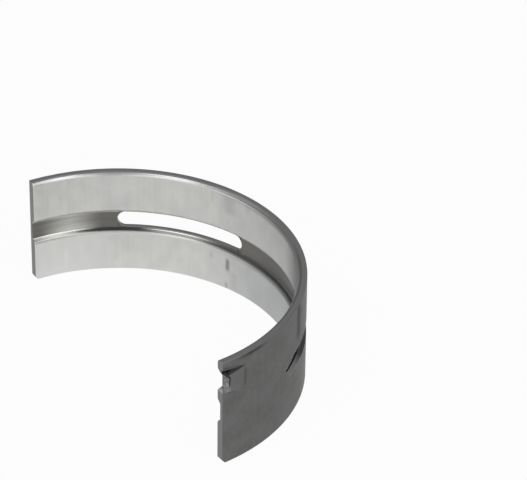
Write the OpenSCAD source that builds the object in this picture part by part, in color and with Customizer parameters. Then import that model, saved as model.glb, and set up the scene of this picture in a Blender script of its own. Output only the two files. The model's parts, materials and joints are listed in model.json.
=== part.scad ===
// Main bearing shell: one half of a split plain bearing that carries an engine's crankshaft.
// It is drawn loose, in its sprung-open shape, so its arc is a little wider and shorter than the housing's.
// The bore axis is Z and the lower end face lies on z = 0.
// The crown of the arc points along +Y and the locating lug is at the +X end.

/* [Shell] */
// Diameter of the engine housing that the shell is pressed into
housing_bore = 82; // [70:0.5:110]
// Wall thickness between the bore and the back
wall = 2; // [1.8:0.05:3]
// Width along the bore axis
width = 26.5; // [24:0.5:40]
// Extra diameter that the loose shell springs open to
free_spread = 2.4; // [0.5:0.1:3.5]
// Chamfer on the two end edges of the bore
bore_chamfer = 0.35; // [0.2:0.05:0.6]
// Chamfer on the two end edges of the back
back_chamfer = 0.15; // [0.1:0.05:0.4]
// Height of the cut across each lower corner of the joint faces
corner_rise = 0.9; // [0.3:0.1:1.5]
// Length of the cut across each lower corner of the joint faces, around the arc
corner_run = 0.8; // [0.3:0.1:1.5]

/* [Oil groove] */
// Width of the oil groove where it opens into the bore
groove_width = 5.8; // [5.6:0.1:7]
// Depth of the oil groove below the bore
groove_depth = 1.05; // [0.6:0.05:1.2]
// Lean of each groove flank away from the radial direction, in degrees
groove_flank_lean = 36; // [10:1:38]

/* [Oil slots] */
// Width of the two oil slots through the groove floor
slot_width = 4; // [2:0.1:4]
// Angle from the crown to the middle of each oil slot, in degrees
slot_centre_angle = 37.4; // [34:0.2:50]
// Angle that each oil slot covers, between the outermost points of its round ends
slot_span_angle = 43.6; // [15:0.2:56]

/* [Locating lug] */
// Width of the lug along the bore axis, where it leaves the back
lug_width = 6.2; // [5:0.1:6.4]
// Distance from the upper end face to the upper side of the lug
lug_inset = 2; // [1.6:0.1:2.4]
// How far the lug is pushed out of the back at the joint face
lug_height = 1.4; // [0.8:0.05:1.5]
// Length of the lug from the joint face to its root
lug_length = 5.8; // [4.5:0.1:8]
// Width of the lug's upper flank along the bore axis
lug_upper_flank = 0.95; // [0.4:0.05:1.2]
// Width of the lug's lower flank along the bore axis
lug_lower_flank = 1.5; // [0.6:0.05:1.8]
// Tilt of the lug towards the lower end face, from the joint face to its root, in degrees
lug_tilt = 6; // [0:1:8]
// Amount that the pressed recess in the bore is narrower than the lug, on each side
lug_press_gap = 0.3; // [0.1:0.05:0.4]

/* [Hidden] */
$fn = 180;
// Plain grey of the tinned bearing metal
shell_colour = [0.72, 0.72, 0.71];
// Amount that a cut runs past the surface it opens through
cut_over = 1;
// Radius of the back of the loose shell
back_r = (housing_bore + free_spread) / 2;
// Radius of the bore of the loose shell
bore_r = back_r - wall;
// Half of the loose shell's arc, in degrees: pressed in, it fills half of the housing bore
half_span = 90 * housing_bore / (housing_bore + free_spread);
// Middle of the width
mid_z = width / 2;
// Width of the flat floor of the oil groove
groove_floor_width = groove_width - 2 * groove_depth * tan(groove_flank_lean);
// Radius of the round ends of the oil slots
slot_end_r = slot_width / 2;
// Angle that one round end of a slot takes up on the back
slot_end_angle = asin(slot_end_r / back_r);
// Angle between the centres of a slot's two round ends
slot_straight_angle = slot_span_angle - 2 * slot_end_angle;
// Height of the lug's upper side at the joint face
lug_top_z = width - lug_inset;
// Height of the lug's lower side at the joint face
lug_bottom_z = lug_top_z - lug_width;
// Angle that the lug is bent out about its root on the bore
lug_lean = atan(lug_height / lug_length);
// Root of the lug on the bore, in the joint face's own frame
lug_root = [sqrt(pow(bore_r, 2) - pow(lug_length, 2)), lug_length, 0];
// Length of the bars that shape the lug, past its root and past the joint face
lug_bar_length = lug_length + 4 * cut_over;

// Turns its children from the X axis to the joint face at the lug end
module at_lug_joint() {
    rotate([0, 0, 90 - half_span]) children();
}

// Bends its children outwards about the root of the lug
module bent_about_root() {
    translate(lug_root) rotate([0, 0, lug_lean]) translate(-lug_root) children();
}

// Section of the wall with its chamfered edges and the oil groove
module wall_section() {
    polygon([
        [bore_r + bore_chamfer, 0],
        [back_r - back_chamfer, 0],
        [back_r, back_chamfer],
        [back_r, width - back_chamfer],
        [back_r - back_chamfer, width],
        [bore_r + bore_chamfer, width],
        [bore_r, width - bore_chamfer],
        [bore_r, mid_z + groove_width / 2],
        [bore_r + groove_depth, mid_z + groove_floor_width / 2],
        [bore_r + groove_depth, mid_z - groove_floor_width / 2],
        [bore_r, mid_z - groove_width / 2],
        [bore_r, bore_chamfer]
    ]);
}

// The half shell before its slots, lug and corner cuts are made
module plain_half() {
    at_lug_joint() rotate_extrude(angle = 2 * half_span) wall_section();
}

// One oil slot on the +X side of the crown, through the whole wall
module oil_slot() {
    rotate([0, 0, 90 - slot_centre_angle]) {
        slot_half();
        mirror([0, 1, 0]) slot_half();
    }
}

// Half of an oil slot: a round end, milled in along a radius, and the run from it past the slot's middle
module slot_half() {
    rotate([0, 0, -slot_straight_angle / 2]) {
        translate([bore_r - cut_over, 0, mid_z])
            rotate([90, 0, 90])
                cylinder(r = slot_end_r, h = wall + 2 * cut_over);
        rotate_extrude(angle = slot_straight_angle / 2 + slot_end_angle)
            translate([bore_r - cut_over, mid_z - slot_end_r])
                square([wall + 2 * cut_over, slot_width]);
    }
}

// Slanted cut across the lower corner of the joint face at the lug end
module corner_cut() {
    over_run = cut_over * corner_run / corner_rise;
    over_rise = cut_over * corner_rise / corner_run;
    at_lug_joint()
        translate([bore_r - cut_over, 0, 0])
            rotate([90, 0, 90])
                linear_extrude(height = wall + 2 * cut_over)
                    polygon([
                        [-cut_over, -cut_over],
                        [corner_run + over_run, -cut_over],
                        [-cut_over, corner_rise + over_rise]
                    ]);
}

// A straight bar through the joint face along the lug, with the given section across it
module lug_bar(section) {
    at_lug_joint()
        translate([0, 0, lug_top_z])
            rotate([-lug_tilt, 0, 0])
                translate([0, lug_length + 2 * cut_over, -lug_top_z])
                    rotate([90, 0, 0])
                        linear_extrude(height = lug_bar_length)
                            polygon(section);
}

// Section of a lug bar: its two leaning flanks run from inside the given surface to the lug's full height
function lug_section(foot_r, press_gap) = let(
    inner_r = foot_r - cut_over,
    crest_r = foot_r + lug_height,
    reach_r = crest_r + wall + cut_over,
    crest_top_z = lug_top_z - press_gap - lug_upper_flank,
    crest_bottom_z = lug_bottom_z + press_gap + lug_lower_flank,
    flank_rise = (crest_r - inner_r) / lug_height
) [
    [inner_r, crest_top_z + flank_rise * lug_upper_flank],
    [crest_r, crest_top_z],
    [reach_r, crest_top_z],
    [reach_r, crest_bottom_z],
    [crest_r, crest_bottom_z],
    [inner_r, crest_bottom_z - flank_rise * lug_lower_flank]
];

// Metal of the lug that stands out of the back, between its two flanks
module lug_outside() {
    intersection() {
        lug_bar(lug_section(back_r, 0));
        at_lug_joint() bent_about_root() intersection() {
            cylinder(r = back_r, h = width);
            cube([back_r, back_r, width]);
        }
    }
}

// Recess that the press leaves in the bore behind the lug, with the set-back end of the lug
module lug_recess() {
    intersection() {
        lug_bar(lug_section(bore_r, lug_press_gap));
        at_lug_joint() bent_about_root() union() {
            cylinder(r = bore_r, h = width);
            translate([0, -lug_bar_length, 0]) cube([2 * back_r, lug_bar_length, width]);
        }
    }
}

// The whole half shell in one piece of metal
module bearing_shell() {
    color(shell_colour) difference() {
        union() {
            plain_half();
            lug_outside();
        }
        oil_slot();
        mirror([1, 0, 0]) oil_slot();
        corner_cut();
        mirror([1, 0, 0]) corner_cut();
        lug_recess();
    }
}

bearing_shell();
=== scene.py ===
import json
import math

import bmesh
import bpy
from mathutils import Matrix, Vector


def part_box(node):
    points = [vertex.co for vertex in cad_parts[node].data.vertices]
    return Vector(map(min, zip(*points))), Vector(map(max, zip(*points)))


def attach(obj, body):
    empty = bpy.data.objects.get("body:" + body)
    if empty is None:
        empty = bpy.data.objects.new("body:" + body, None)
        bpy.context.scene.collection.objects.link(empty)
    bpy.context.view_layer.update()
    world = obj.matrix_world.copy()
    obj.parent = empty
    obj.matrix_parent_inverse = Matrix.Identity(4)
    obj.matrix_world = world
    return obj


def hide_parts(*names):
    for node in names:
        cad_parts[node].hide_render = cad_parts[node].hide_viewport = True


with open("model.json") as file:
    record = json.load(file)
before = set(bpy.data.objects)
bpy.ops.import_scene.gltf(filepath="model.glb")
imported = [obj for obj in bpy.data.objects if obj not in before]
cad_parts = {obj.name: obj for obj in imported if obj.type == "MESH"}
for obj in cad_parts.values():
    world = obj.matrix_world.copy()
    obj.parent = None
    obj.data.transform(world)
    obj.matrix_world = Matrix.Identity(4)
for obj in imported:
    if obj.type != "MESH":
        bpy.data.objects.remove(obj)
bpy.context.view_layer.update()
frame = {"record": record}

# Sizes of the shell that the frame names, in millimetres and radians
MM = 0.001
mounts = {mount["name"]: mount for mount in frame["record"]["mounts"]}
bore_r = mounts["journal_seat"]["dims"]["r_mm"]
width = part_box("bearing_shell")[1].z / MM
lug_joint_normal = mounts["lug_joint"]["axis"]
half_span = math.atan2(-lug_joint_normal[1], lug_joint_normal[0])

# Sizes of the wall, its edges and the cut across each lower corner
wall = 2.0
bore_chamfer = 0.35
back_chamfer = 0.15
corner_rise = 0.9
corner_run = 0.8

# Sizes of the oil groove and of the two slots through its floor
groove_width = 5.8
groove_depth = 1.05
groove_flank_lean = math.radians(36)
slot_width = 4.0
slot_centre_angle = math.radians(37.4)
slot_span_angle = math.radians(43.6)

# Sizes of the locating lug, whose upper flank is steeper on the back, where it is sheared
lug_width = 6.2
lug_inset = 2.0
lug_height = 1.4
lug_length = 5.8
lug_upper_flank = 0.95
lug_sheared_flank = 0.5
lug_lower_flank = 1.5
lug_tilt = math.radians(9)
lug_press_gap = 0.3
shear_depth = 0.6
shear_length = 4.2

# Small rounds that pressing and deburring leave on the edges
edge_round = 0.06
back_edge_round = 0.03
bore_edge_round = 0.85
groove_lip_round = 1.1
groove_fillet_round = 0.9
slot_round = 0.05
lug_round = 0.25
lug_foot_round = 1.2
lug_end_blend = 0.25

# Breaks on the edges of a joint face: along the bore, along the back and at the ends of the back
joint_bore_break = 0.054
joint_back_break = 0.06
joint_end_break = 0.024

# Sizes worked out from the ones above
back_r = bore_r + wall
mid_z = width / 2
floor_r = bore_r + groove_depth
groove_low = mid_z - groove_width / 2
groove_high = mid_z + groove_width / 2
groove_floor_width = groove_width - 2 * groove_depth * math.tan(groove_flank_lean)
groove_fillet_run = groove_fillet_round * math.tan((math.pi / 2 - groove_flank_lean) / 2)
groove_flat_half = groove_floor_width / 2 - groove_fillet_run
slot_r = slot_width / 2
slot_rim_r = slot_r + slot_round
slot_straight_half = slot_span_angle / 2 - math.asin(slot_r / back_r)
lug_top_z = width - lug_inset
lug_bottom_z = lug_top_z - lug_width
lug_crest_high = lug_top_z - lug_sheared_flank
lug_crest_low = lug_bottom_z + lug_lower_flank
recess_foot_high = lug_top_z - lug_press_gap
recess_foot_low = lug_bottom_z + lug_press_gap
recess_crest_high = recess_foot_high - lug_upper_flank
recess_crest_low = recess_foot_low + lug_lower_flank
lug_step_z = recess_crest_high - lug_end_blend
# Lowest height of the painted shade line along the lug's end
shade_line_foot_z = recess_crest_low + lug_lower_flank / 2

# The lug is bent out about its root on the bore. Its places are in the joint face's own frame:
# first the distance out along a radius, then the distance inwards from the face.
lug_lean = math.atan(lug_height / lug_length)
lug_root = Vector((math.sqrt(bore_r ** 2 - lug_length ** 2), lug_length))
bent_centre = lug_root - Matrix.Rotation(lug_lean, 2) @ lug_root

# How finely the mesh is laid out
ROUND_STEPS = 2
BORE_EDGE_STEPS = 5
GROOVE_STEPS = 8
WALL_STEPS = 4
SLOT_END_STEPS = 10
LAND_ROWS = 4
ARC_STEP = math.radians(1)
MERGE_DISTANCE = 2e-7
SHARP_ANGLE = math.radians(48)

# Steps of the groove's lip and fillet that are steep enough to have the flank's finish
STEEP_LIP_STEPS = 2
STEEP_FILLET_STEPS = 1

# Rows below and above the lug, as distances from its two sides
ROWS_BELOW_LUG = [0.45, 0.2]
ROWS_ABOVE_LUG = [0.3, 0.8]

# Columns at the two joint faces, as distances from the face
JOINT_ZONE = 10
FACE_COLUMNS = [0, edge_round]
PLAIN_COLUMNS = [*FACE_COLUMNS, 0.3, 0.55, corner_run, 2, 4, 7, JOINT_ZONE]
LUG_COLUMNS = [*FACE_COLUMNS, 0.15, 0.3, 0.42, 0.5, 0.58, 0.66, 0.74, 0.8, 1.0, 1.3, 1.6, 1.95, 2.3, 2.65,
               3.0, 3.35, 3.7, 4.05, 4.4, 4.75, 5.1, 5.45, 5.8, 6.05, 6.32, 6.7, 7.3, 8.2, JOINT_ZONE]

# Run round the arc over which the rows that cross the lug lose its tilt
LUG_FADE = 15

# How many columns the lug's sheared side, its root, its painted shade line and the step at its end take
SHEAR_COLUMNS = sum(distance < shear_length for distance in LUG_COLUMNS) - len(FACE_COLUMNS)
LUG_ROOT_COLUMNS = sum(shear_length <= distance < lug_length for distance in LUG_COLUMNS)
SHADE_LINE_COLUMNS = 2
STEP_COLUMNS = 9


class Row:
    """One line that runs round the shell, with its radius and height on the bore and on the back.

    Its strip names the finish of the bore just above it. Its rim is -1 and 1 at the lower and upper side
    of the oil slots, and 0 elsewhere.
    """

    def __init__(self, bore, back, strip, rim=0, on_lug=False):
        self.bore = Vector(bore)
        self.back = Vector(back)
        self.strip = strip
        self.rim = rim
        self.on_lug = on_lug


def held(value):
    """A value held between 0 and 1."""
    return min(1, max(0, value))


def between(low, high, count):
    """Evenly spaced values between two limits, without the limits."""
    return [low + (high - low) * step / (count + 1) for step in range(1, count + 1)]


def rounded_corner(before, corner, after, radius, steps=ROUND_STEPS):
    """Points of a round in place of a section's corner."""
    corner = Vector(corner)
    back = (Vector(before) - corner).normalized()
    ahead = (Vector(after) - corner).normalized()
    half = back.angle(ahead) / 2
    centre = corner + (back + ahead).normalized() * (radius / math.sin(half))
    first = corner + back * (radius / math.tan(half)) - centre
    last = corner + ahead * (radius / math.tan(half)) - centre
    return [centre + first.lerp(last, step / steps).normalized() * radius for step in range(steps + 1)]


def groove_side():
    """Lip and fillet of one side of the groove, as radius and distance from the groove's middle."""
    on_land = (bore_r, groove_width)
    lip = (bore_r, groove_width / 2)
    foot = (floor_r, groove_floor_width / 2)
    on_floor = (floor_r, 0)
    fillet = rounded_corner(lip, foot, on_floor, groove_fillet_round, GROOVE_STEPS)
    fillet = [point for point in fillet if point.y > slot_rim_r + slot_round]
    return rounded_corner(on_land, lip, foot, groove_lip_round, GROOVE_STEPS), fillet


def floor_radius(distance):
    """Radius of the groove floor at a distance from its middle, on its flat or on its fillet."""
    run = max(0, distance - groove_flat_half)
    return floor_r - groove_fillet_round + math.sqrt(groove_fillet_round ** 2 - run ** 2)


def lug_heights():
    """Heights of the rows that cross the lug, close together on its flanks.

    A kink is a height and the number of rows between it and the next kink.
    """
    kinks = [
        *[(lug_bottom_z - gap, 1) for gap in ROWS_BELOW_LUG],
        (lug_bottom_z, 2),
        (recess_foot_low, 8),
        (recess_crest_low - lug_end_blend, 5),
        (recess_crest_low + lug_end_blend, 4),
        (recess_crest_high - lug_end_blend, 5),
        (recess_crest_high + lug_end_blend, 6),
        (recess_foot_high, 2),
        (lug_top_z, 1),
        *[(lug_top_z + gap, 0) for gap in ROWS_ABOVE_LUG],
    ]
    heights = []
    for (low, count), (high, _) in zip(kinks, kinks[1:]):
        heights += [low, *between(low, high, count)]
    return heights + [kinks[-1][0]]


def section_rows():
    """Rows from the lower end face to the upper one."""
    lower_edge = [(back_r, 0), (bore_r + bore_chamfer, 0), (bore_r, bore_chamfer), (bore_r, width)]
    upper_edge = [(bore_r, 0), (bore_r, width), (back_r, width)]
    back = [
        (bore_r, 0), (back_r - back_chamfer, 0), (back_r, back_chamfer),
        (back_r, width - back_chamfer), (back_r - back_chamfer, width), (bore_r, width),
    ]
    bore_lower = [rounded_corner(*lower_edge[i:i + 3], edge_round) for i in range(2)]
    bore_upper = rounded_corner(*upper_edge, bore_edge_round, BORE_EDGE_STEPS)
    back_corners = [rounded_corner(*back[i:i + 3], back_edge_round) for i in range(4)]
    lip, fillet = groove_side()
    steep = lip[-STEEP_LIP_STEPS:] + fillet[:STEEP_FILLET_STEPS]
    rows = []

    def add(strip, points, last_strip, back_points=None, **marks):
        for i, point in enumerate(points):
            beyond = back_points[i] if back_points else (back_r, point[1])
            rows.append(Row(point, beyond, strip, **marks))
        rows[-1].strip = last_strip

    def below(points):
        return [(radius, mid_z - distance) for radius, distance in points]

    def above(points):
        return [(radius, mid_z + distance) for radius, distance in reversed(points)]

    lower_land = between(bore_chamfer, groove_low, LAND_ROWS)
    add("chamfer", bore_lower[0] + bore_lower[1], "lining", back_corners[0] + back_corners[1])
    add("lining", [(bore_r, z) for z in lower_land], "lining")
    add("groove_lip", below(lip[:-STEEP_LIP_STEPS]), "groove_flank")
    add("groove_flank", below(steep), "groove_flank")
    add("groove_fillet", below(fillet[STEEP_FILLET_STEPS:]), "groove_floor")
    add("slot", [(floor_radius(slot_r), mid_z - slot_r)], "slot", rim=-1)
    add("groove_floor", [(floor_radius(slot_r), mid_z + slot_r)], "groove_floor", rim=1)
    add("lining", above(lip + fillet), "lining")
    add("lining", [(bore_r, z) for z in lug_heights()], "lining", on_lug=True)
    add("chamfer", bore_upper, "chamfer", back_corners[2] + back_corners[3])
    break_joint_edges(rows)
    return rows


def break_joint_edges(rows):
    """Sets how far each row steps into the wall on a joint face, square to the section's outline."""
    for before, row, after in zip([None, *rows], rows, [*rows[1:], None]):
        bore_run = (after.bore if after else row.back) - (before.bore if before else row.back)
        back_run = (after.back if after else row.bore) - (before.back if before else row.bore)
        at_end = row.strip == "chamfer" or row in (rows[0], rows[-1])
        back_break = joint_end_break if at_end else joint_back_break
        row.bore_inset = Vector((bore_run.y, -bore_run.x)).normalized() * joint_bore_break
        row.back_inset = Vector((-back_run.y, back_run.x)).normalized() * back_break


def soft_min(first, second, radius=lug_round):
    """The lower of two values, with a small round where they cross."""
    near = max(0, 1 - abs(first - second) / radius)
    return min(first, second) - near ** 2 * radius / 4


def soft_max(first, second, radius=lug_round):
    """The higher of two values, with a small round where they cross."""
    return -soft_min(-first, -second, radius)


def lug_flank(foot_r, gap, upper_flank, height):
    """How far out the lug's two leaning flanks let the metal go at a height."""
    upper = (lug_top_z - gap - height) * lug_height / upper_flank
    lower = (height - lug_bottom_z - gap) * lug_height / lug_lower_flank
    return foot_r + min(upper, lower)


def bent_out(radius, inwards):
    """How far out a surface of that radius lies once it is bent with the lug."""
    return bent_centre.x + math.sqrt(radius ** 2 - (inwards - bent_centre.y) ** 2)


def lug_end_inwards(radius):
    """How far the sheared end of the lug is set back from the joint face, on a surface of that radius."""
    return (lug_root + Matrix.Rotation(lug_lean, 2) @ (Vector((radius, 0)) - lug_root)).y


def lug_shape(row, inwards):
    """Bore and back points of a row at a distance from the lug's joint face, in that face's frame."""
    inside_crests = min(row.bore.y - recess_crest_low, recess_crest_high - row.bore.y)
    set_back = held(0.5 + inside_crests / (2 * lug_end_blend))
    share = set_back * max(0, 1 - inwards / lug_length)
    bore_in = inwards + lug_end_inwards(bore_r) * share
    back_in = inwards + lug_end_inwards(back_r) * share
    pressed_flank = lug_flank(bore_r, lug_press_gap, lug_upper_flank, row.bore.y)
    raised_flank = lug_flank(back_r, 0, lug_sheared_flank, row.back.y)
    pressed = soft_min(bent_out(bore_r, bore_in), pressed_flank)
    raised = soft_min(bent_out(back_r, back_in), raised_flank)
    raised = min(raised, bent_centre.x + (back_in - bent_centre.y) / math.tan(lug_lean))
    plain_bore = math.sqrt(row.bore.x ** 2 - bore_in ** 2)
    plain_back = math.sqrt(row.back.x ** 2 - back_in ** 2)
    lower_share = held((lug_crest_low - row.back.y) / lug_lower_flank)
    foot_round = lug_round + (lug_foot_round - lug_round) * lower_share
    return (soft_max(plain_bore, pressed), bore_in), (soft_max(plain_back, raised, foot_round), back_in)


def lower_corner(point, inwards, chamfer, towards_back):
    """Lifts a section point onto the slanted cut across the lower corner of a joint face."""
    floor_z = corner_rise * (1 - inwards / corner_run)
    if inwards >= corner_run or point.y > floor_z:
        return point
    return Vector((edge_of(floor_z, chamfer, towards_back), floor_z))


def edge_of(height, chamfer, towards_back):
    """Radius of the bore or the back at a height, on or above its lower chamfer."""
    cut = max(0, chamfer - height)
    return back_r - cut if towards_back else bore_r + cut


def joint_column(rows, side, inwards):
    """Section of the shell at a distance from a joint face. On the face itself its edges are broken."""
    outwards = Vector((side * math.sin(half_span), math.cos(half_span), 0))
    along = Vector((-side * math.cos(half_span), math.sin(half_span), 0))
    lug_drop = -math.tan(lug_tilt) * min(inwards, lug_length)

    def place(spot, height, inset):
        out, into = spot
        if inwards == 0:
            out += inset.x
            height += inset.y
        return outwards * out + along * into + Vector((0, 0, height))

    bores, backs = [], []
    for row in rows:
        bore = lower_corner(row.bore, inwards, bore_chamfer, False)
        back = lower_corner(row.back, inwards, back_chamfer, True)
        bore_spot = (math.sqrt(bore.x ** 2 - inwards ** 2), inwards)
        back_spot = (math.sqrt(back.x ** 2 - inwards ** 2), inwards)
        drop = 0
        if side > 0 and row.on_lug:
            bore_spot, back_spot = lug_shape(row, inwards)
            drop = lug_drop
        bores.append(place(bore_spot, bore.y + drop, row.bore_inset))
        backs.append(place(back_spot, back.y + drop, row.back_inset))
    return bores, backs


def on_arc(angle, radius, height):
    """A point at an angle from the crown, positive towards the lug."""
    return Vector((radius * math.sin(angle), radius * math.cos(angle), height))


def on_slot(station, round_r, side, depth, from_back):
    """A point on an oil slot's wall, at a depth below the groove floor or the back.

    A station is an angle, and on a round end its sign and turn.
    """
    angle, sign, turn = station
    distance = round_r * math.cos(turn)
    radius = back_r - depth if from_back else floor_radius(distance) + depth
    reach = math.asin(round_r * math.sin(turn) / radius)
    return on_arc(angle + sign * reach, radius, mid_z + side * distance)


def arc_column(rows, station, in_slot):
    """Section of the shell away from its joint faces."""
    angle, sign, turn = station
    angle += sign * math.asin(slot_rim_r * math.sin(turn) / back_r)
    fade = held(1 - ((half_span - angle) * bore_r - JOINT_ZONE) / LUG_FADE)
    lug_drop = -math.tan(lug_tilt) * lug_length * fade
    bores, backs = [], []
    for row in rows:
        if row.rim and in_slot:
            bores.append(on_slot(station, slot_rim_r, row.rim, 0, from_back=False))
            backs.append(on_slot(station, slot_rim_r, row.rim, 0, from_back=True))
            continue
        shift = lug_drop if row.on_lug else 0
        bore_x = row.bore.x
        if row.rim:
            shift = -row.rim * (slot_r - groove_flat_half)
            bore_x = floor_r
        bores.append(on_arc(angle, bore_x, row.bore.y + shift))
        backs.append(on_arc(angle, row.back.x, row.back.y + shift))
    return bores, backs


def slot_stations(centre):
    """Stations round one oil slot, from the tip of one round end to the tip of the other."""
    turns = [math.pi / 2 * step / SLOT_END_STEPS for step in range(SLOT_END_STEPS + 1)]
    low, high = centre - slot_straight_half, centre + slot_straight_half
    return ([(low, -1, turn) for turn in reversed(turns)]
            + plain_stations(low, high)
            + [(high, 1, turn) for turn in turns])


def plain_stations(low, high):
    """Stations between two angles where the section stays the same."""
    return [(angle, 0, 0) for angle in between(low, high, round((high - low) / ARC_STEP))]


class ShellMesh:
    """Collects the shell's points and faces, and the finish of each face."""

    def __init__(self):
        self.points = []
        self.faces = []
        self.finishes = []

    def ring(self, points):
        """Adds points and gives their numbers."""
        start = len(self.points)
        self.points += points
        return list(range(start, len(self.points)))

    def skin(self, first, second, finish_of, closed):
        """Joins two rings of the same length. finish_of gives a face's finish, or nothing for a gap."""
        for i in range(len(first) if closed else len(first) - 1):
            j = (i + 1) % len(first)
            finish = finish_of(i)
            if finish:
                self.faces.append((first[i], second[i], second[j], first[j]))
                self.finishes.append(finish)


def wall_points(inner, outer):
    """Points across the wall between a bore point and a back point, without the two."""
    return [inner.lerp(outer, step / WALL_STEPS) for step in range(1, WALL_STEPS)]


def build_shell():
    """The whole half shell as one closed mesh with a finish for each face."""
    rows = section_rows()
    slots = [slot_stations(-slot_centre_angle), slot_stations(slot_centre_angle)]
    columns = shell_columns(rows, slots)
    mesh = ShellMesh()
    rings = []
    for (bores, backs), _ in columns:
        upper = wall_points(bores[-1], backs[-1])
        lower = wall_points(backs[0], bores[0])
        rings.append(mesh.ring([*bores, *upper, *reversed(backs), *lower]))
    shear_start = len(columns) - len(FACE_COLUMNS) - SHEAR_COLUMNS
    for column, (first, second) in enumerate(zip(rings, rings[1:])):
        in_slot = columns[column][1] and columns[column][1] == columns[column + 1][1]
        finish_of = ring_finish(rows, column - shear_start, in_slot)
        mesh.skin(first, second, finish_of, closed=True)
    for end in (0, -1):
        close_joint_face(mesh, rows, columns[end][0], sheared=end == -1)
    for stations in slots:
        open_slot(mesh, stations)
    return mesh


def shell_columns(rows, slots):
    """Sections from the plain joint face to the lug's, each with the side of the slot that it crosses."""
    outer_tip = slot_centre_angle + slot_span_angle / 2
    inner_tip = slot_centre_angle - slot_span_angle / 2
    arc_end = half_span - JOINT_ZONE / bore_r

    def arc(stations, slot_side=None):
        return [(arc_column(rows, station, slot_side is not None), slot_side) for station in stations]

    columns = [(joint_column(rows, -1, distance), None) for distance in PLAIN_COLUMNS]
    columns += arc(plain_stations(-arc_end, -outer_tip))
    columns += arc(slots[0], -1)
    columns += arc(plain_stations(-inner_tip, inner_tip))
    columns += arc(slots[1], 1)
    columns += arc(plain_stations(outer_tip, arc_end))
    columns += [(joint_column(rows, 1, distance), None) for distance in reversed(LUG_COLUMNS)]
    return columns


def ring_finish(rows, sheared_columns, in_slot):
    """Gives the finish of each face between two rings, which go up the bore and down the back."""
    bore_faces = len(rows) - 1
    back_start = bore_faces + WALL_STEPS
    back_end = back_start + bore_faces

    def finish_of(i):
        if i < bore_faces:
            strip = rows[i].strip
            if strip == "slot":
                return None if in_slot else "groove_floor"
            return strip
        if not back_start <= i < back_end:
            return "end_face"
        row = rows[back_end - 1 - i]
        if row.strip == "slot" and in_slot:
            return None
        if row.strip == "chamfer":
            return "back_edge"
        return lug_finish(row, sheared_columns) if row.on_lug else "back"

    return finish_of


def lug_finish(row, column):
    """Finish of the back at a row that crosses the lug.

    The column counts from the root end of the lug's sheared side. Its painted shade line widens towards the
    step.
    """
    shear = shear_depth * max(0, column) / SHEAR_COLUMNS
    at_step = column > SHEAR_COLUMNS - STEP_COLUMNS
    # The sheared side, and the crest at the step, have painted shade
    if lug_top_z - shear <= row.back.y < lug_top_z:
        return "lug_shear"
    if column >= -LUG_ROOT_COLUMNS and lug_crest_high <= row.back.y < lug_top_z:
        return "lug_shear" if at_step else "lug_flank"
    # Painted shade line along the outer edge of the lug's end, wider towards the step
    if at_step and lug_step_z <= row.back.y < lug_crest_high:
        return "lug_burr"
    up_shade_line = (row.back.y - shade_line_foot_z) / (lug_step_z - shade_line_foot_z)
    burr = SHADE_LINE_COLUMNS + STEP_COLUMNS * up_shade_line / 2
    if column > SHEAR_COLUMNS - burr and shade_line_foot_z < row.back.y < lug_step_z:
        return "lug_burr"
    return "back"


def joint_finish(row, step, sheared):
    """Finish of a joint face at a row and a step across the wall: torn at the lug's end, painted shade at
    its step.
    """
    if not sheared or not row.on_lug or not recess_foot_low <= row.bore.y < recess_foot_high:
        return "joint_face"
    if row.bore.y <= lug_step_z:
        return "lug_end"
    return "lug_shear" if step == WALL_STEPS - 1 else "joint_face"


def close_joint_face(mesh, rows, column, sheared):
    """Fills a joint face between the bore and the back."""
    bores, backs = column
    lines = [mesh.ring([bore, *wall_points(bore, back), back]) for bore, back in zip(bores, backs)]
    for row, first, second in zip(rows, lines, lines[1:]):
        finishes = [joint_finish(row, step, sheared) for step in range(WALL_STEPS)]
        mesh.skin(first, second, finishes.__getitem__, closed=False)


def open_slot(mesh, stations):
    """Walls of an oil slot, with small rounds where they meet the groove floor and the back."""
    turns = [math.pi / 2 * step / ROUND_STEPS for step in range(ROUND_STEPS + 1)]
    levels = [(slot_rim_r - slot_round * math.sin(t), slot_round * (1 - math.cos(t))) for t in turns]
    sides = [(*level, False) for level in levels] + [(*level, True) for level in reversed(levels)]
    rings = []
    for round_r, depth, from_back in sides:
        upper = [on_slot(s, round_r, 1, depth, from_back) for s in stations]
        lower = [on_slot(s, round_r, -1, depth, from_back) for s in reversed(stations[1:-1])]
        rings.append(mesh.ring(upper + lower))
    for first, second in zip(rings, rings[1:]):
        mesh.skin(first, second, lambda i: "slot_wall", closed=True)


class Value:
    """A socket in a node tree. Its operators add Math nodes."""

    def __init__(self, nodes, socket):
        self.nodes = nodes
        self.socket = socket

    def math(self, operation, *others):
        """One Math node on this value and others."""
        return self.nodes.add("ShaderNodeMath", {"operation": operation}, dict(enumerate((self, *others))))

    def __add__(self, other):
        return self.math("ADD", other)

    def __sub__(self, other):
        return self.math("SUBTRACT", other)

    def __rsub__(self, other):
        return self * -1 + other

    def __mul__(self, other):
        return self.math("MULTIPLY", other)

    __radd__ = __add__
    __rmul__ = __mul__


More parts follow.
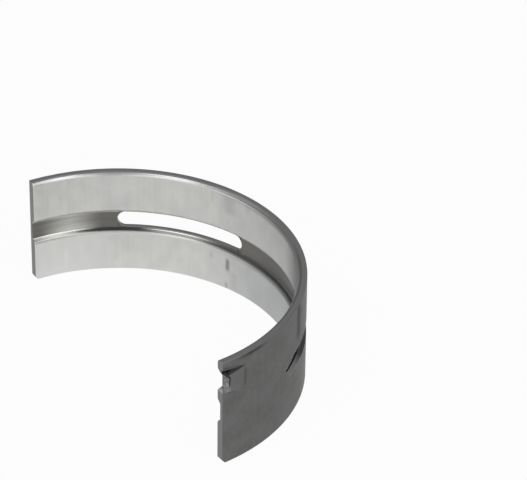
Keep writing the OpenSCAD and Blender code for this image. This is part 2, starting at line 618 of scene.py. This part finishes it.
class Nodes:
    """A node tree whose nodes are added one by one."""

    def __init__(self, tree):
        self.tree = tree
        self.tree.nodes.clear()

    def add(self, kind, settings=None, sockets=None, output=0):
        """One node, and the value of one of its outputs."""
        outputs = self.node(kind, settings, sockets).outputs
        return Value(self, outputs[output]) if outputs else None

    def parts(self, kind, sockets):
        """One node, and the values of all its outputs."""
        return [Value(self, socket) for socket in self.node(kind, None, sockets).outputs]

    def node(self, kind, settings, sockets):
        """One node: its settings come first, then the values or links of its sockets."""
        node = self.tree.nodes.new(kind)
        for name, value in (settings or {}).items():
            setattr(node, name, value)
        for key, value in (sockets or {}).items():
            if isinstance(value, Value):
                self.tree.links.new(value.socket, node.inputs[key])
            else:
                node.inputs[key].default_value = value
        return node

    def mix(self, share, first, second):
        """A colour between two colours, which a Mix node takes at its sockets 6 and 7."""
        return self.add("ShaderNodeMix", {"data_type": "RGBA"}, {0: share, 6: first, 7: second}, output=2)

    def step(self, value, low, high):
        """A smooth rise from 0 to 1 between two limits."""
        return self.add("ShaderNodeMapRange", {"interpolation_type": "SMOOTHSTEP"},
                        {"Value": value, "From Min": low, "From Max": high})

    def band(self, value, low, high, soft):
        """1 between two limits and 0 outside them, with soft ends."""
        return self.step(value, low - soft, low + soft) * (1 - self.step(value, high - soft, high + soft))

    def vector(self, x, y, z):
        """A vector from its three parts."""
        return self.add("ShaderNodeCombineXYZ", None, {"X": x, "Y": y, "Z": z})

    def noise(self, place, detail=2.0):
        """Soft noise from 0 to 1, one blotch per unit of place."""
        return self.add("ShaderNodeTexNoise", {"noise_dimensions": "3D"},
                        {"Vector": place, "Scale": 1.0, "Detail": detail, "Roughness": 0.5})


class ShellFinish(Nodes):
    """A finish that knows its place on the shell.

    The angle from the crown is in degrees. The arc, the radius and the height are in millimetres.
    """

    def __init__(self, name):
        self.material = bpy.data.materials.new(name)
        self.material.use_nodes = True
        super().__init__(self.material.node_tree)
        place = self.add("ShaderNodeTexCoord", output="Object")
        self.place = self.add("ShaderNodeVectorMath", {"operation": "SCALE"}, {0: place, "Scale": 1 / MM})
        x, y, self.height = self.parts("ShaderNodeSeparateXYZ", {0: self.place})
        turn = x.math("ARCTAN2", y)
        self.angle = turn * math.degrees(1)
        self.arc = turn * bore_r
        across = self.vector(x, y, 0.0)
        self.radius = self.add("ShaderNodeVectorMath", {"operation": "LENGTH"}, {0: across}, output="Value")

    def past(self, low, high):
        """A smooth rise from 0 to 1 between two angles."""
        return self.step(self.angle, low, high)

    def stretch(self, low, high, soft):
        """1 between two angles and 0 outside them, with soft ends."""
        return self.band(self.angle, low, high, soft)

    def mark(self, angle, half_width, low, high, soft):
        """A soft mark that runs along the bore axis."""
        across = self.stretch(angle - half_width / 2, angle + half_width / 2, half_width / 2)
        return across * self.band(self.height, low, high, soft)

    def streaks(self, per_mm_round, per_mm_along, detail=3.0, seed=0.0):
        """Noise drawn out along the bore axis or round the arc."""
        return self.noise(self.vector(self.arc * per_mm_round, self.height * per_mm_along, seed), detail)

    def shaded_beside_slot(self, colour):
        """A colour darkened by painted shade beside the slot near the lug."""
        return self.mix(self.past(18.0, 32.0) * 0.92, colour, metal(0.1))

    def bump(self, height, depth_mm):
        """A normal from a height of that many millimetres."""
        sockets = {"Height": height, "Strength": 1.0, "Distance": depth_mm * MM}
        return self.add("ShaderNodeBump", None, sockets)

    def surface(self, **sockets):
        """The finish's shader, which is bare metal, and its output."""
        named = {name.replace("_", " ").title(): value for name, value in sockets.items()}
        shader = self.add("ShaderNodeBsdfPrincipled", None, {"Metallic": 1.0, **named})
        self.add("ShaderNodeOutputMaterial", None, {"Surface": shader})
        return self.material


def metal(level, red=1.0, blue=1.0):
    """A grey with a slight cast."""
    return (level * red, level, level * blue, 1.0)


# Glancing tint of the metal where oil lies on it
OILY_TINT = metal(0.25)

# Marks on the lining: angle and half width in degrees, lower and upper height in mm, strength
DARK_MARKS = [
    (-20.2, 1.3, 5.4, 8.4, 0.8),
    (-20.7, 1.0, 0.4, 1.8, 0.45),
    (-17.6, 2.5, 0.5, 5.5, 0.13),
    (-26.8, 0.9, 7.4, 8.6, 0.3),
    (-19.6, 4.5, 21.0, 25.5, 0.22),
    (-26.4, 0.8, 22.5, 25.5, 0.1),
    (-11.5, 2.2, 24.5, 26.0, 0.15),
]
BRIGHT_MARKS = [
    (-76.6, 1.2, 2.0, 7.0, 0.3),
    (-71.3, 0.9, 5.0, 8.5, 0.15),
    (-38.0, 5.0, 17.0, 23.0, 0.12),
]

# Marks on the back, and painted shade at the lug's root and along the upper edge near the lug:
# angle and half width in degrees, lower and upper height in mm, softness in mm, strength and grey
BACK_MARKS_AND_SHADE = [
    (49.6, 2.8, 18.0, 27.0, 1.5, 0.95, 0.02),
    (47.5, 5.0, 14.0, 27.0, 3.0, 0.25, 0.05),
    # Painted shade in the crease at the lug's root
    (79.3, 1.0, 18.8, 23.0, 0.8, 0.4, 0.03),
    # Painted shade along the back's upper edge near the lug
    (76.0, 9.0, 25.5, 26.25, 0.3, 0.75, 0.03),
    (86.6, 1.4, 19.0, 20.6, 0.5, 0.7, 0.28),
]


def bored_lining():
    """Satin lining with streaks, clouds and marks, painted light near the plain joint, painted shade to the
    lug and edges.
    """
    finish = ShellFinish("bored_lining")
    cloud = finish.step(finish.streaks(0.1, 0.12), 0.3, 0.7)
    blotch = finish.step(finish.streaks(0.35, 0.2, seed=5.0), 0.3, 0.7)
    streak = finish.step(finish.streaks(1.6, 0.04), 0.3, 0.8)
    broken = finish.step(finish.streaks(2.2, 0.7, seed=9.0), 0.15, 0.6)
    colour = finish.mix(cloud, metal(0.58, 0.99, 0.93), metal(0.6, 0.99, 0.99))
    colour = finish.mix(blotch * 0.6, colour, metal(0.68, 0.99, 0.96))
    colour = finish.mix(streak * 0.38, colour, metal(0.69, 0.99, 0.97))
    lower_land = 1 - finish.step(finish.height, mid_z - 1.0, mid_z + 1.0)
    # Painted light: the lower land is brighter near the plain joint
    rubbed = lower_land * (1 - finish.past(-74.0, -55.0))
    colour = finish.mix(rubbed * 0.6, colour, metal(0.72, 0.99, 0.97))
    for *place, strength in BRIGHT_MARKS:
        mark = finish.mark(*place, soft=2.0) * broken
        colour = finish.mix(mark * strength, colour, metal(0.85))
    for *place, strength in DARK_MARKS:
        mark = finish.mark(*place, soft=0.8) * (0.6 + broken * 0.4)
        colour = finish.mix(mark * strength, colour, metal(0.1))
    # Painted shade: the lining darkens towards the lug, most on the lower land, with a cool cast
    painted_shade_to_lug = finish.past(-35.0, 4.0) * (0.53 - finish.step(finish.height, 6.0, 20.0) * 0.28)
    colour = finish.mix(painted_shade_to_lug, colour, metal(0.3, 0.96, 1.06))
    upper_edge = finish.step(finish.height, width - 1.8, width - 0.5)
    lower_lip = finish.band(finish.height, groove_low - 0.75, groove_low + 1.65, 0.8)
    upper_lip = finish.band(finish.height, groove_high - 0.85, groove_high + 0.35, 0.4)
    # Painted shade on a stretch towards the lug, at the upper edge and beside the groove's lips
    shaded_stretch = finish.past(9.0, 27.0) * (1 - finish.past(36.0, 52.0))
    painted_shade = shaded_stretch * 0.8 + (upper_edge + lower_lip) * finish.past(-34.0, 6.0) * 0.75
    painted_shade = painted_shade + upper_lip * finish.past(-6.0, 8.0) * 0.7
    colour = finish.mix(painted_shade.math("MINIMUM", 0.85), colour, metal(0.12))
    lines = finish.bump(finish.streaks(0.05, 9.0, 1.0), 0.002)
    return finish.surface(base_color=colour, roughness=0.46 + cloud * 0.08, normal=lines)


def groove_floor():
    """Milled groove floor, stained brown by oil but for one clean stretch and a bright upper rim."""
    finish = ShellFinish("groove_floor")
    lines = finish.streaks(0.06, 2.5)
    stain = finish.mix(lines, metal(0.11, 1.04, 0.93), metal(0.17, 1.03, 0.94))
    stain = finish.mix(finish.past(-15.0, 8.0) * 0.55, stain, metal(0.05, 0.97, 1.03))
    clean = finish.stretch(-80.0, -69.5, 6.0)
    rubbed = finish.mix(finish.step(lines, 0.35, 0.65), metal(0.38, 1.0, 0.94), metal(0.5, 1.0, 0.94))
    colour = finish.mix(clean * 0.9, stain, rubbed)
    foot = 1 - finish.step(finish.height, mid_z - slot_r, mid_z)
    colour = finish.mix(foot * clean * 0.5, colour, metal(0.7, 1.0, 0.95))
    rim = finish.step(finish.height, mid_z + slot_r - 0.1, mid_z + slot_r + 0.05)
    colour = finish.mix(rim * 0.8, colour, metal(0.55))
    return finish.surface(base_color=colour, roughness=0.32)


def groove_flank():
    """Smooth cut lower flank of the groove, bright near the plain joint and darkened by painted shade
    elsewhere.
    """
    finish = ShellFinish("groove_flank")
    lines = finish.streaks(0.06, 2.5)
    colour = finish.mix(lines, metal(0.34, 1.01, 0.95), metal(0.42, 1.01, 0.95))
    # Painted shade in stretches along the flank, strongest towards the lug
    oil = finish.past(-80.0, -68.0) * 0.64 + finish.past(-12.0, 2.0) * 0.26
    oil = oil + (1 - finish.past(-88.0, -81.0)) * 0.35
    oil = oil + finish.stretch(-54.0, -47.0, 3.0) * 0.12 - finish.past(-30.0, -20.0) * 0.14
    oil = oil + finish.stretch(-31.0, -25.0, 3.0) * 0.12
    colour = finish.shaded_beside_slot(finish.mix(oil, colour, metal(0.08)))
    return finish.surface(base_color=colour, roughness=0.18, specular_tint=OILY_TINT)


def groove_lip():
    """Bright lower lip of the groove, darkened by painted shade towards the lug."""
    finish = ShellFinish("groove_lip")
    lines = finish.streaks(0.3, 2.5)
    colour = finish.mix(lines, metal(0.54, 1.0, 0.97), metal(0.64, 1.0, 0.97))
    # Painted shade towards the lug
    oil = finish.past(-32.0, 0.0) * 0.75
    colour = finish.shaded_beside_slot(finish.mix(oil, colour, metal(0.13)))
    return finish.surface(base_color=colour, roughness=0.3, specular_tint=OILY_TINT)


def groove_fillet():
    """Rounded foot of the groove's lower flank, bright in two stretches, with painted shade between them
    and towards the lug.
    """
    finish = ShellFinish("groove_fillet")
    lines = finish.streaks(0.3, 2.5)
    colour = finish.mix(lines, metal(0.72, 1.0, 0.96), metal(0.84, 1.0, 0.96))
    # Painted shade between the two bright stretches
    colour = finish.mix(finish.stretch(-68.5, -49.5, 3.5) * 0.95, colour, metal(0.07))
    # Painted shade towards the lug
    oil = finish.past(-36.0, -22.0) * 0.95
    colour = finish.shaded_beside_slot(finish.mix(oil, colour, metal(0.28)))
    return finish.surface(base_color=colour, roughness=0.24, specular_tint=OILY_TINT)


def slot_wall():
    """Milled walls of the oil slots, with painted shade in the slot near the lug, lighter at its outer end.
    """
    finish = ShellFinish("slot_wall")
    lines = finish.streaks(0.5, 0.5)
    colour = finish.mix(lines, metal(0.45), metal(0.6))
    # Painted shade in the slot near the lug, lighter towards its outer end
    oil = finish.mix(finish.past(44.0, 51.0), metal(0.25), metal(0.68))
    colour = finish.mix(finish.past(-5.0, 5.0), colour, oil)
    return finish.surface(base_color=colour, roughness=0.4, specular_tint=OILY_TINT)


def turned_end():
    """Dull turned end faces."""
    finish = ShellFinish("turned_end")
    cloud = finish.noise(finish.vector(finish.arc * 0.3, finish.radius * 3.0, 0.0), 3.0)
    colour = finish.mix(cloud, metal(0.42), metal(0.54))
    return finish.surface(base_color=colour, roughness=0.4)


def cut_chamfer():
    """Cut edges of the bore, with painted highlights in three stretches and painted shade elsewhere and at
    the foot.
    """
    finish = ShellFinish("cut_chamfer")
    streak = finish.streaks(0.8, 0.1)
    colour = finish.mix(streak, metal(0.62), metal(0.76))
    # Painted highlights in three stretches of the edge
    bright = finish.stretch(-81.0, -73.0, 3.0) + finish.stretch(-50.0, -35.0, 4.0) * 0.35
    bright = bright + finish.stretch(-22.0, -8.0, 4.0) * 0.6
    colour = finish.mix(bright * 0.55, colour, metal(0.95))
    # Painted shade towards the lug and in one stretch near the plain joint
    oil = finish.past(-12.0, 8.0) * 0.85 + finish.stretch(-34.0, -27.0, 3.0) * 0.3
    colour = finish.mix(oil, colour, metal(0.44))
    # More painted shade past the slot near the lug
    colour = finish.mix(finish.past(12.0, 28.0) * 0.55, colour, metal(0.2))
    # Painted shade on the edge's foot, towards the lug and in one stretch
    foot = 1 - finish.step(finish.height, width - 0.6, width - 0.15)
    dull = finish.past(-30.0, -4.0) * 0.62 + finish.stretch(-66.0, -56.0, 4.0) * 0.45
    colour = finish.mix(foot * dull, colour, metal(0.25))
    return finish.surface(base_color=colour, roughness=0.32)


def broached_joint():
    """Grey joint faces, cut across the wall."""
    finish = ShellFinish("broached_joint")
    lines = finish.noise(finish.vector(finish.radius * 0.4, finish.height * 5.0, 0.0))
    colour = finish.mix(lines, metal(0.16), metal(0.22))
    return finish.surface(base_color=colour, roughness=0.42)


def rolled_back():
    """Dark steel back with faint axial streaks, soft clouds, scuffs, marks and painted shade near the lug.
    """
    finish = ShellFinish("rolled_back")
    streak = finish.step(finish.streaks(0.9, 0.05), 0.45, 0.8)
    cloud = finish.step(finish.streaks(0.16, 0.2, seed=3.0), 0.3, 0.7)
    scuff = finish.step(finish.streaks(0.9, 0.6, seed=11.0), 0.35, 0.75)
    colour = finish.mix(cloud, metal(0.125, 1.01, 0.95), metal(0.15))
    colour = finish.mix(streak * 0.2, colour, metal(0.2))
    colour = finish.mix(scuff * 0.3, colour, metal(0.18))
    for *place, strength, grey in BACK_MARKS_AND_SHADE:
        colour = finish.mix(finish.mark(*place) * strength, colour, metal(grey))
    return finish.surface(base_color=colour, roughness=0.45, specular_tint=metal(0.75))


def rolled_edge():
    """Broken edges of the back, a little brighter than the back itself."""
    finish = ShellFinish("rolled_edge")
    cloud = finish.streaks(0.16, 0.2, seed=3.0)
    colour = finish.mix(cloud, metal(0.3), metal(0.36))
    return finish.surface(base_color=colour, roughness=0.5)


def worn_flank():
    """Rubbed upper flank of the lug."""
    finish = ShellFinish("worn_flank")
    cloud = finish.noise(finish.place, 3.0)
    colour = finish.mix(cloud, metal(0.13), metal(0.16))
    return finish.surface(base_color=colour, roughness=0.5)


def sheared_edge():
    """Torn metal on the sheared upper side of the lug, painted near black as shade towards its end."""
    finish = ShellFinish("sheared_edge")
    torn = finish.noise(finish.place, 3.0)
    # Painted shade: near black towards the lug's end, dark grey further back
    colour = finish.mix(torn, metal(0.01), metal(0.03))
    colour = finish.mix(1 - finish.past(82.5, 87.0), colour, metal(0.12))
    return finish.surface(base_color=colour, roughness=0.6, specular_tint=metal(0.1))


def burred_edge():
    """Painted shade line along the outer edge of the lug's end."""
    finish = ShellFinish("burred_edge")
    torn = finish.noise(finish.place, 3.0)
    colour = finish.mix(torn, metal(0.03), metal(0.05))
    return finish.surface(base_color=colour, roughness=0.5)


def torn_end():
    """Set-back end of the lug, torn in bright patches and rubbed at its foot."""
    finish = ShellFinish("torn_end")
    torn = finish.step(finish.noise(finish.place, 3.0), 0.4, 0.65)
    colour = finish.mix(torn, metal(0.17), metal(0.32))
    foot = 1 - finish.step(finish.height, recess_foot_low, recess_crest_low)
    colour = finish.mix(foot * 0.7, colour, metal(0.45))
    return finish.surface(base_color=colour, roughness=0.42)


def make_shell():
    """The finished shell in place of the plain solid."""
    made = build_shell()
    data = bpy.data.meshes.new("bearing_shell_finished")
    data.from_pydata([point * MM for point in made.points], [], made.faces)
    finishes = {
        "lining": bored_lining(),
        "chamfer": cut_chamfer(),
        "groove_floor": groove_floor(),
        "groove_flank": groove_flank(),
        "groove_lip": groove_lip(),
        "groove_fillet": groove_fillet(),
        "end_face": turned_end(),
        "joint_face": broached_joint(),
        "back": rolled_back(),
        "back_edge": rolled_edge(),
        "lug_flank": worn_flank(),
        "lug_shear": sheared_edge(),
        "lug_burr": burred_edge(),
        "lug_end": torn_end(),
        "slot_wall": slot_wall(),
    }
    for material in finishes.values():
        data.materials.append(material)
    names = list(finishes)
    data.polygons.foreach_set("material_index", [names.index(name) for name in made.finishes])
    welded = bmesh.new()
    welded.from_mesh(data)
    bmesh.ops.remove_doubles(welded, verts=welded.verts, dist=MERGE_DISTANCE)
    bmesh.ops.recalc_face_normals(welded, faces=welded.faces)
    welded.to_mesh(data)
    welded.free()
    data.shade_smooth()
    data.set_sharp_from_angle(angle=SHARP_ANGLE)
    shell = bpy.data.objects.new("bearing_shell_finished", data)
    bpy.context.scene.collection.objects.link(shell)
    even = shell.modifiers.new("even_shading", "WEIGHTED_NORMAL")
    even.keep_sharp = True
    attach(shell, "root")
    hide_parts("bearing_shell")


# View of the shell, with places in pixels of a picture and the distance in radii of the back
PICTURE = (527, 480)
SENSOR = 36.0
view_heading = math.radians(57.345)
view_pitch = math.radians(33.2814)
view_roll = math.radians(0.76)
view_radii = 17.15966
view_distance = back_r * MM * view_radii
focal_pixels = 3245.43
origin_pixel = (115.63, 368.46)

# Directions of the view along the floor, and up
to_right = Vector((math.cos(view_heading), math.sin(view_heading), 0))
away = Vector((-math.sin(view_heading), math.cos(view_heading), 0))
up = Vector((0, 0, 1))


def make_camera():
    """Camera that sees the shell's origin at its pixel, level but for a slight roll."""
    ahead = away * math.cos(view_pitch) - up * math.sin(view_pitch)
    level_up = to_right.cross(ahead)
    right = to_right * math.cos(view_roll) + level_up * math.sin(view_roll)
    above = level_up * math.cos(view_roll) - to_right * math.sin(view_roll)
    middle = ((PICTURE[0] - 1) / 2, (PICTURE[1] - 1) / 2)
    across = (origin_pixel[0] - middle[0]) / focal_pixels * view_distance
    down = (origin_pixel[1] - middle[1]) / focal_pixels * view_distance
    data = bpy.data.cameras.new("camera")
    data.sensor_width = SENSOR
    data.lens = focal_pixels * SENSOR / PICTURE[0]
    camera = bpy.data.objects.new("camera", data)
    camera.matrix_world = Matrix((right, above, -ahead)).transposed().to_4x4()
    camera.location = -ahead * view_distance - right * across + above * down
    bpy.context.scene.collection.objects.link(camera)
    bpy.context.scene.camera = camera


# Floor: half its side in metres, and the share of white in what the camera and the metal see of it
floor_half = 3.0
white_share = 0.96

# Painted shade on the floor, as distances in mm inside the bore where it starts and where it is full
painted_shade_start = 5.5
painted_shade_full = 1.5


def make_floor():
    """Floor that is white to the camera and in the metal, but for a painted shade at the shell's inner
    foot.
    """
    corners = [(x * floor_half, y * floor_half, 0) for x, y in ((-1, -1), (1, -1), (1, 1), (-1, 1))]
    data = bpy.data.meshes.new("floor")
    data.from_pydata(corners, [], [(0, 1, 2, 3)])
    finish = ShellFinish("white_floor")
    rays = ("Is Camera Ray", "Is Glossy Ray", "Is Transmission Ray")
    seen = [finish.add("ShaderNodeLightPath", output=ray) for ray in rays]
    white = (seen[0] + seen[1] + seen[2]).math("MINIMUM", 1.0) * white_share
    # Painted shade: a darker paper along the shell's inner foot towards the lug, in place of its shadow
    shade = finish.step(finish.radius, bore_r - painted_shade_start, bore_r - painted_shade_full)
    shade = shade * (1 - finish.step(finish.radius, bore_r, back_r))
    shade = shade * finish.past(8.0, 20.0) * (1 - finish.past(50.0, 80.0))
    glow = finish.add("ShaderNodeEmission", None, {"Color": metal(1.0), "Strength": 1.0})
    paper = finish.add("ShaderNodeBsdfDiffuse", None, {"Color": metal(0.8)})
    painted_shade_paper = finish.add("ShaderNodeBsdfDiffuse", None, {"Color": metal(0.42)})
    open_floor = finish.add("ShaderNodeMixShader", None, {0: white, 1: paper, 2: glow})
    whole_floor = finish.add("ShaderNodeMixShader", None, {0: shade, 1: open_floor, 2: painted_shade_paper})
    finish.add("ShaderNodeOutputMaterial", None, {"Surface": whole_floor})
    data.materials.append(finish.material)
    floor = bpy.data.objects.new("floor", data)
    bpy.context.scene.collection.objects.link(floor)


def make_world():
    """Grey room light, darker overhead, with a bright front low down and two brighter panels in it."""
    world = bpy.data.worlds.new("room")
    world.use_nodes = True
    room = Nodes(world.node_tree)
    place = room.add("ShaderNodeTexCoord")
    x, y, rise = room.parts("ShaderNodeSeparateXYZ", {0: place})
    nearer = x * -away.x + y * -away.y
    aside = (x * to_right.x + y * to_right.y).math("ABSOLUTE")
    overhead = room.step(rise, math.sin(math.radians(56)), math.sin(math.radians(72)))
    front = room.step(nearer, 0.2, 0.8) * (1 - room.step(rise, 0.1, 0.75))
    panels = room.step(nearer, 0.2, 0.5) * room.band(aside, 0.32, 0.7, 0.1)
    panels = panels * (1 - room.step(rise, 0.6, 0.8))
    shade = room.mix(overhead, metal(0.27), metal(0.16))
    shade = room.mix(front, shade, metal(0.95))
    shade = room.mix(panels, shade, metal(1.5))
    light = room.add("ShaderNodeBackground", None, {"Color": shade})
    room.add("ShaderNodeOutputWorld", None, {"Surface": light})
    bpy.context.scene.world = world


# Two soft lights over the shell, in metres: place to the right and size of each, then what they share
SOFTBOXES = {"right_softbox": (0.43, (0.35, 0.5)), "left_softbox": (-0.46, (0.48, 0.5))}
softbox_nearer = 0.34
softbox_rise = 1.0
softbox_radiance = 1.9


def make_softbox(name, across, size):
    """A soft light that faces down, with its sides along the view."""
    data = bpy.data.lights.new(name, "AREA")
    data.shape = "RECTANGLE"
    data.size, data.size_y = size
    data.energy = softbox_radiance * math.pi * size[0] * size[1]
    light = bpy.data.objects.new(name, data)
    light.location = to_right * across - away * softbox_nearer + up * softbox_rise
    light.rotation_euler.z = view_heading
    bpy.context.scene.collection.objects.link(light)


make_shell()
make_camera()
make_floor()
make_world()
for name, (across, size) in SOFTBOXES.items():
    make_softbox(name, across, size)
bpy.context.scene.view_settings.view_transform = "Standard"
